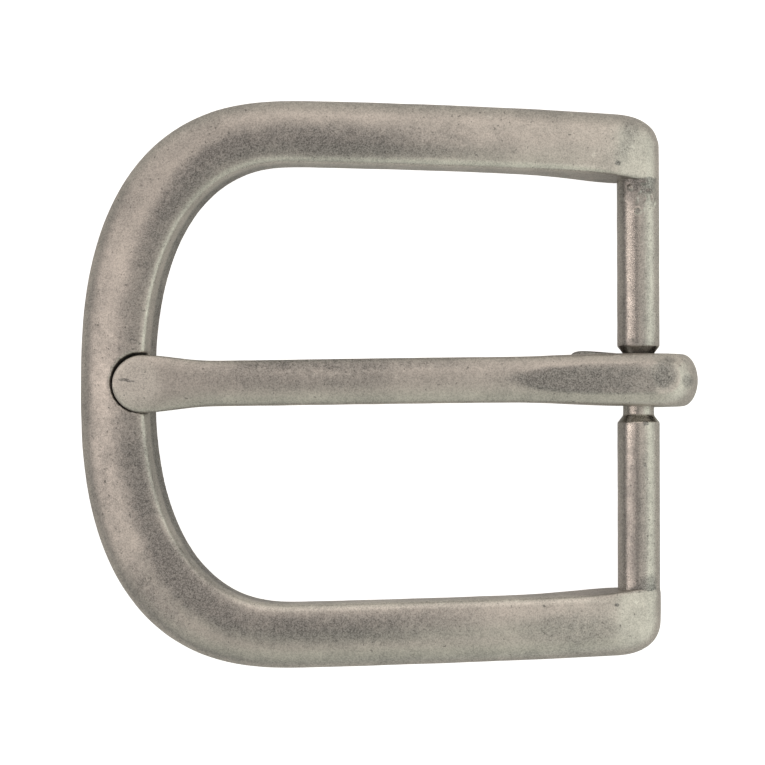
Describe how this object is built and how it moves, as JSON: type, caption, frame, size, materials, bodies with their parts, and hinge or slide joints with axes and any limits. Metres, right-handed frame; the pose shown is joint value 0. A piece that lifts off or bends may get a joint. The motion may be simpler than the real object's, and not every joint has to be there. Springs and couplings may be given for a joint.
{
  "type": "belt buckle",
  "caption": "Heel-bar belt buckle: an arched horseshoe frame, a necked bar that the strap folds round, and a prong that swings on the bar and rests in a seat in the bow.",
  "frame": {"origin": "the middle of the heel bar's axis", "axes": "+X from the bow towards the bar, +Y along the bar, +Z out of the front face"},
  "size_m": [0.0623, 0.0566, 0.0089],
  "materials": {
    "cast_frame": "satin antique nickel over a tumbled casting, dark patina in pits and corners",
    "turned_bar": "satin antique nickel over a turned rod, darker at the neck and at both ends",
    "formed_prong": "satin antique nickel over a formed strap, hammered dark marks on the bend"
  },
  "bodies": {
    "frame": {"frame": "cast_frame", "heel_bar": "turned_bar"},
    "prong": {"prong": "formed_prong"}
  },
  "joints": [
    {"name": "prong_swing", "type": "hinge", "parent": "frame", "child": "prong", "pos_m": [0, 0, 0], "axis": [0, 1, 0], "range_deg": [0, 354]}
  ]
}
